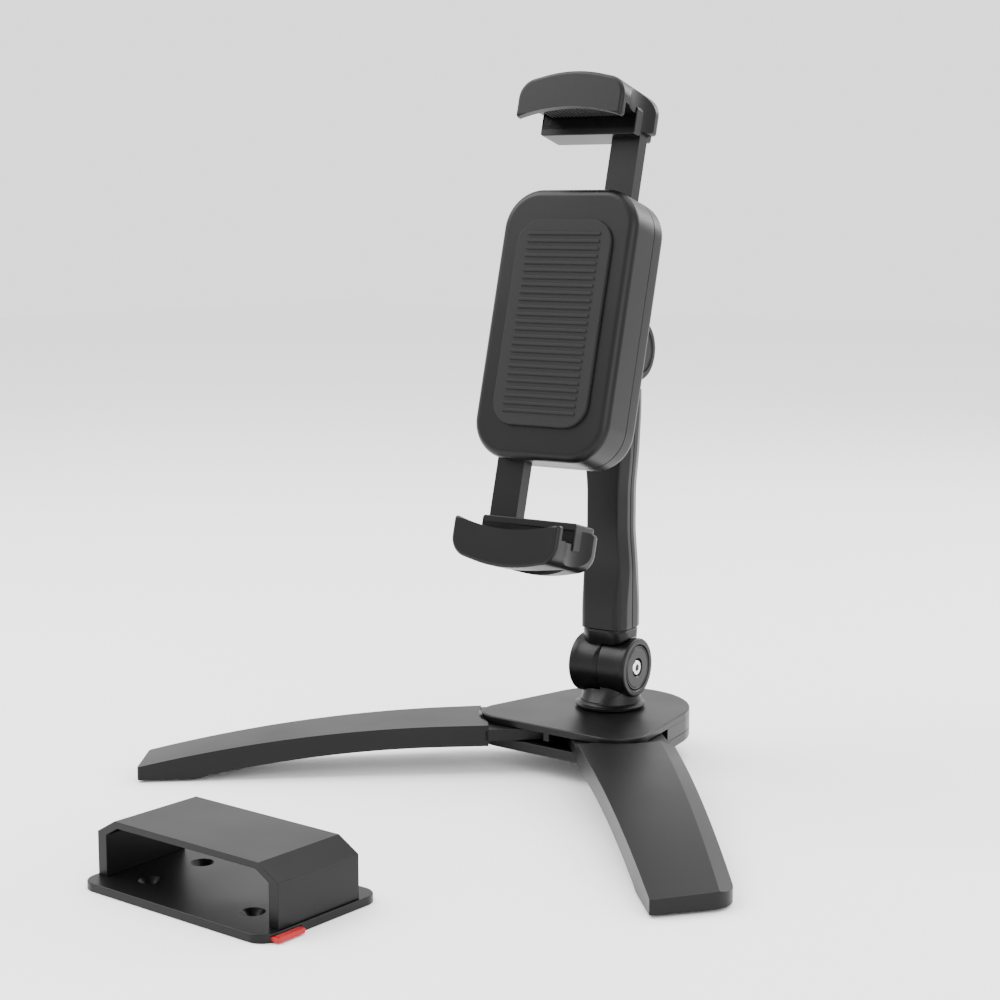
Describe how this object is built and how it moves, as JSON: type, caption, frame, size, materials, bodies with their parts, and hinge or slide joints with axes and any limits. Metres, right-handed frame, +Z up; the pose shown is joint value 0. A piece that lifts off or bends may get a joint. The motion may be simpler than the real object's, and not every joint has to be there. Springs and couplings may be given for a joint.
{
  "type": "tablet holder",
  "caption": "Folding desk and wall tablet holder: two legs on a hub, an arm with tilt hinges, a turning sprung clamp head and a wall sleeve with a release tab.",
  "frame": {"origin": "on the floor under the swivel axis of the hub", "axes": "+Z up, -Y towards the person looking at the tablet, +X to that person's right"},
  "size_m": [0.2832, 0.2868, 0.2861],
  "materials": {
    "black_plastic": "satin",
    "black_plastic_fine": "satin",
    "rubber": "matte",
    "steel": "polished",
    "black_steel": "satin",
    "spring_steel": "satin",
    "alloy": "satin",
    "white_acetal": "satin",
    "red_plastic": "satin"
  },
  "bodies": {
    "hub": {"hub_cover": "black_plastic", "hub_base": "black_plastic", "rear_foot": "rubber", "leg_pivot_pins": "steel", "hub_screws": "black_steel"},
    "left_leg": {"left_leg_shell": "black_plastic", "left_leg_underside": "black_plastic_fine", "left_foot_pad": "rubber"},
    "right_leg": {"right_leg_shell": "black_plastic", "right_leg_underside": "black_plastic_fine", "right_foot_pad": "rubber"},
    "swivel": {"lower_knuckle": "black_plastic", "lower_hinge_cap": "black_plastic_fine", "lower_hinge_screw": "steel", "base_swivel_bolt": "black_steel", "base_swivel_washer": "spring_steel"},
    "arm": {"arm_lower_knuckle": "black_plastic", "arm_front_shell": "black_plastic", "arm_back_shell": "black_plastic", "arm_bar": "alloy", "arm_upper_knuckle": "black_plastic", "lower_end_cap": "black_plastic_fine", "upper_end_cap": "black_plastic_fine", "lower_hinge_nut": "steel", "upper_hinge_nut": "steel", "lower_friction_washer": "spring_steel", "upper_friction_washer": "spring_steel"},
    "neck": {"upper_knuckle": "black_plastic", "upper_hinge_cap": "black_plastic_fine", "upper_hinge_screw": "steel", "head_swivel_bolt": "black_steel", "head_swivel_washer": "spring_steel"},
    "head": {"head_back_cover": "black_plastic", "head_front_cover": "black_plastic", "head_pad": "rubber", "head_screws": "black_steel", "pinion_axle": "steel"},
    "pinion": {"pinion": "white_acetal"},
    "upper_claw": {"upper_slider": "black_plastic_fine", "upper_claw": "black_plastic", "upper_claw_pad": "rubber"},
    "lower_claw": {"lower_slider": "black_plastic_fine", "lower_claw": "black_plastic", "lower_claw_pad": "rubber"},
    "bracket": {"wall_plate": "black_plastic", "bracket_sleeve": "black_plastic"},
    "release_tab": {"release_tab": "red_plastic"}
  },
  "joints": [
    {"name": "left_leg_fold", "type": "hinge", "parent": "hub", "child": "left_leg", "pos_m": [-0.02, -0.027, 0], "axis": [0, 0, 1], "range_deg": [0, 46]},
    {"name": "right_leg_fold", "type": "hinge", "parent": "hub", "child": "right_leg", "pos_m": [0.02, -0.027, 0], "axis": [0, 0, -1], "range_deg": [0, 46]},
    {"name": "base_swivel", "type": "hinge", "parent": "hub", "child": "swivel", "pos_m": [0, 0, 0], "axis": [0, 0, 1], "continuous": true},
    {"name": "lower_tilt", "type": "hinge", "parent": "swivel", "child": "arm", "pos_m": [0, 0, 0.04], "axis": [-0.9962, -0.0872, 0], "range_deg": [-40, 60]},
    {"name": "upper_tilt", "type": "hinge", "parent": "arm", "child": "neck", "pos_m": [0, 0, 0.174], "axis": [-0.9962, -0.0872, 0], "range_deg": [-12, 74.5]},
    {"name": "head_spin", "type": "hinge", "parent": "neck", "child": "head", "pos_m": [0, 0, 0.174], "axis": [0.084, -0.96, 0.2672], "continuous": true},
    {"name": "upper_claw_slide", "type": "slide", "parent": "head", "child": "upper_claw", "axis": [-0.0233, 0.2662, 0.9636], "range_m": [-0.02, 0.026]},
    {"name": "lower_claw_slide", "type": "slide", "parent": "head", "child": "lower_claw", "axis": [0.0233, -0.2662, -0.9636], "range_m": [-0.02, 0.026]},
    {"name": "pinion_spin", "type": "hinge", "parent": "head", "child": "pinion", "pos_m": [0, 0, 0.174], "axis": [0.084, -0.96, 0.2672], "range_deg": [-160, 190]},
    {"name": "bracket_slide", "type": "slide", "parent": "hub", "child": "bracket", "axis": [0, 1, 0], "range_m": [0, 0.131]},
    {"name": "release_tab_press", "type": "slide", "parent": "bracket", "child": "release_tab", "axis": [-1, 0, 0], "range_m": [0, 0.0016], "stiffness_N_per_m": 800}
  ],
  "couplings": [
    {"joint": "lower_claw_slide", "follows": "upper_claw_slide", "ratio": 1},
    {"joint": "pinion_spin", "follows": "upper_claw_slide", "rad_per_m": 125}
  ]
}
